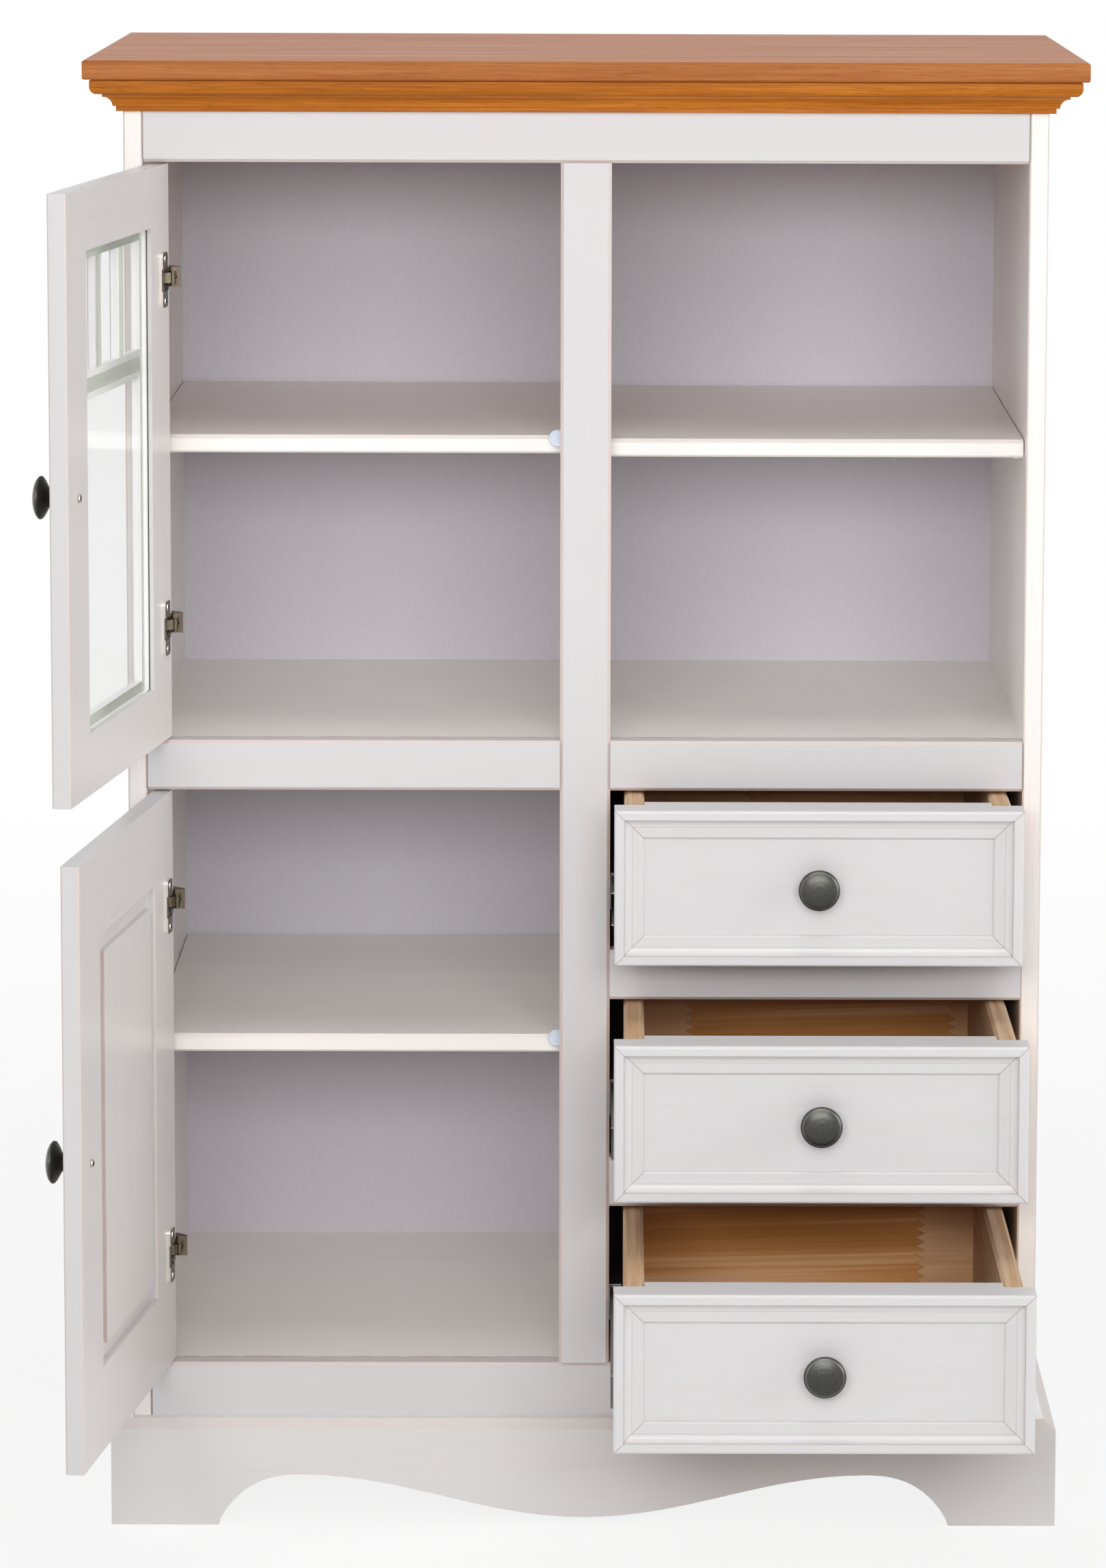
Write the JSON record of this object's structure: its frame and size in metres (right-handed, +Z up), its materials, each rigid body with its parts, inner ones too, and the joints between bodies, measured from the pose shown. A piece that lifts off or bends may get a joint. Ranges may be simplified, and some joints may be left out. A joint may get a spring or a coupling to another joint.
{
  "type": "highboard display cabinet",
  "caption": "Tall display cabinet with a glazed door above a panelled door, an open shelf bay above pull-out drawers, a moulded cornice and an arched base.",
  "frame": {"origin": "on the floor, in the middle of the face that the rear rail stands on", "axes": "+X to the right as seen from the front, +Y to the rear, +Z up"},
  "size_m": [0.9596, 0.8738, 1.412],
  "materials": {
    "white_lacquer": "white satin lacquer on pine",
    "honey_pine": "honey-stained pine, satin lacquer",
    "white_board": "white-faced hardboard",
    "natural_pine": "sanded natural pine",
    "hardboard": "brown hardboard",
    "nickel": "nickel-plated steel",
    "zinc_steel": "zinc-plated steel",
    "dark_metal": "antique dark metal",
    "stop_plastic": "soft plastic",
    "clear_glass": "clear float glass"
  },
  "bodies": {
    "cabinet": {"side_left": "white_lacquer", "side_right": "white_lacquer", "top_board": "honey_pine", "cornice_front": "honey_pine", "cornice_returns": "honey_pine", "top_rail": "white_lacquer", "centre_stile": "white_lacquer", "divider": "white_lacquer", "mid_rails": "white_lacquer", "mid_boards": "white_lacquer", "bottom_board": "white_lacquer", "bottom_rail": "white_lacquer", "drawer_rails": "white_lacquer", "skirt_front": "white_lacquer", "skirt_returns": "white_lacquer", "back_panels": "white_board", "rear_rail": "white_lacquer", "shelf_upper_left": "white_lacquer", "shelf_upper_right": "white_lacquer", "shelf_lower_left": "white_lacquer", "shelf_pins": "nickel", "door_stops": "stop_plastic", "hinge_arms": "nickel", "runner_battens": "natural_pine", "cabinet_runners": "zinc_steel"},
    "glass_door": {"glass_door_stiles": "white_lacquer", "glass_door_rails": "white_lacquer", "glass_pane": "clear_glass", "glazing_bars": "white_lacquer", "glass_door_cups": "nickel", "glass_door_knob": "dark_metal"},
    "panel_door": {"panel_door_stiles": "white_lacquer", "panel_door_rails": "white_lacquer", "door_panel": "white_lacquer", "panel_door_cups": "nickel", "panel_door_knob": "dark_metal"},
    "glass_door_links": {"glass_door_links": "nickel"},
    "panel_door_links": {"panel_door_links": "nickel"},
    "top_drawer": {"top_drawer_front": "white_lacquer", "top_drawer_moulding": "white_lacquer", "top_drawer_sides": "natural_pine", "top_drawer_back": "natural_pine", "top_drawer_bottom": "hardboard", "top_drawer_runners": "zinc_steel", "top_drawer_knob": "dark_metal"},
    "middle_drawer": {"middle_drawer_front": "white_lacquer", "middle_drawer_moulding": "white_lacquer", "middle_drawer_sides": "natural_pine", "middle_drawer_back": "natural_pine", "middle_drawer_bottom": "hardboard", "middle_drawer_runners": "zinc_steel", "middle_drawer_knob": "dark_metal"},
    "bottom_drawer": {"bottom_drawer_front": "white_lacquer", "bottom_drawer_moulding": "white_lacquer", "bottom_drawer_sides": "natural_pine", "bottom_drawer_back": "natural_pine", "bottom_drawer_bottom": "hardboard", "bottom_drawer_runners": "zinc_steel", "bottom_drawer_knob": "dark_metal"}
  },
  "joints": [
    {"name": "glass_door_hinge", "type": "hinge", "parent": "cabinet", "child": "glass_door", "pos_m": [-0.4065, -0.4746, 1.0395], "axis": [0, 0, 1], "range_deg": [0, 99]},
    {"name": "glass_door_link_pivot", "type": "hinge", "parent": "cabinet", "child": "glass_door_links", "pos_m": [-0.3905, -0.471, 1.0395], "axis": [0, 0, 1], "range_deg": [-38.91, 0.4]},
    {"name": "panel_door_hinge", "type": "hinge", "parent": "cabinet", "child": "panel_door", "pos_m": [-0.4065, -0.4746, 0.4355], "axis": [0, 0, 1], "range_deg": [-1, 98]},
    {"name": "panel_door_link_pivot", "type": "hinge", "parent": "cabinet", "child": "panel_door_links", "pos_m": [-0.3905, -0.471, 0.4355], "axis": [0, 0, 1], "range_deg": [-38.52, 0.79]},
    {"name": "top_drawer_slide", "type": "slide", "parent": "cabinet", "child": "top_drawer", "axis": [0, -1, 0], "range_m": [-0.088, 0.242]},
    {"name": "middle_drawer_slide", "type": "slide", "parent": "cabinet", "child": "middle_drawer", "axis": [0, -1, 0], "range_m": [-0.187, 0.143]},
    {"name": "bottom_drawer_slide", "type": "slide", "parent": "cabinet", "child": "bottom_drawer", "axis": [0, -1, 0], "range_m": [-0.308, 0.022]}
  ],
  "couplings": [
    {"joint": "glass_door_link_pivot", "follows": "glass_door_hinge", "ratio": -0.389},
    {"joint": "panel_door_link_pivot", "follows": "panel_door_hinge", "ratio": -0.389}
  ]
}
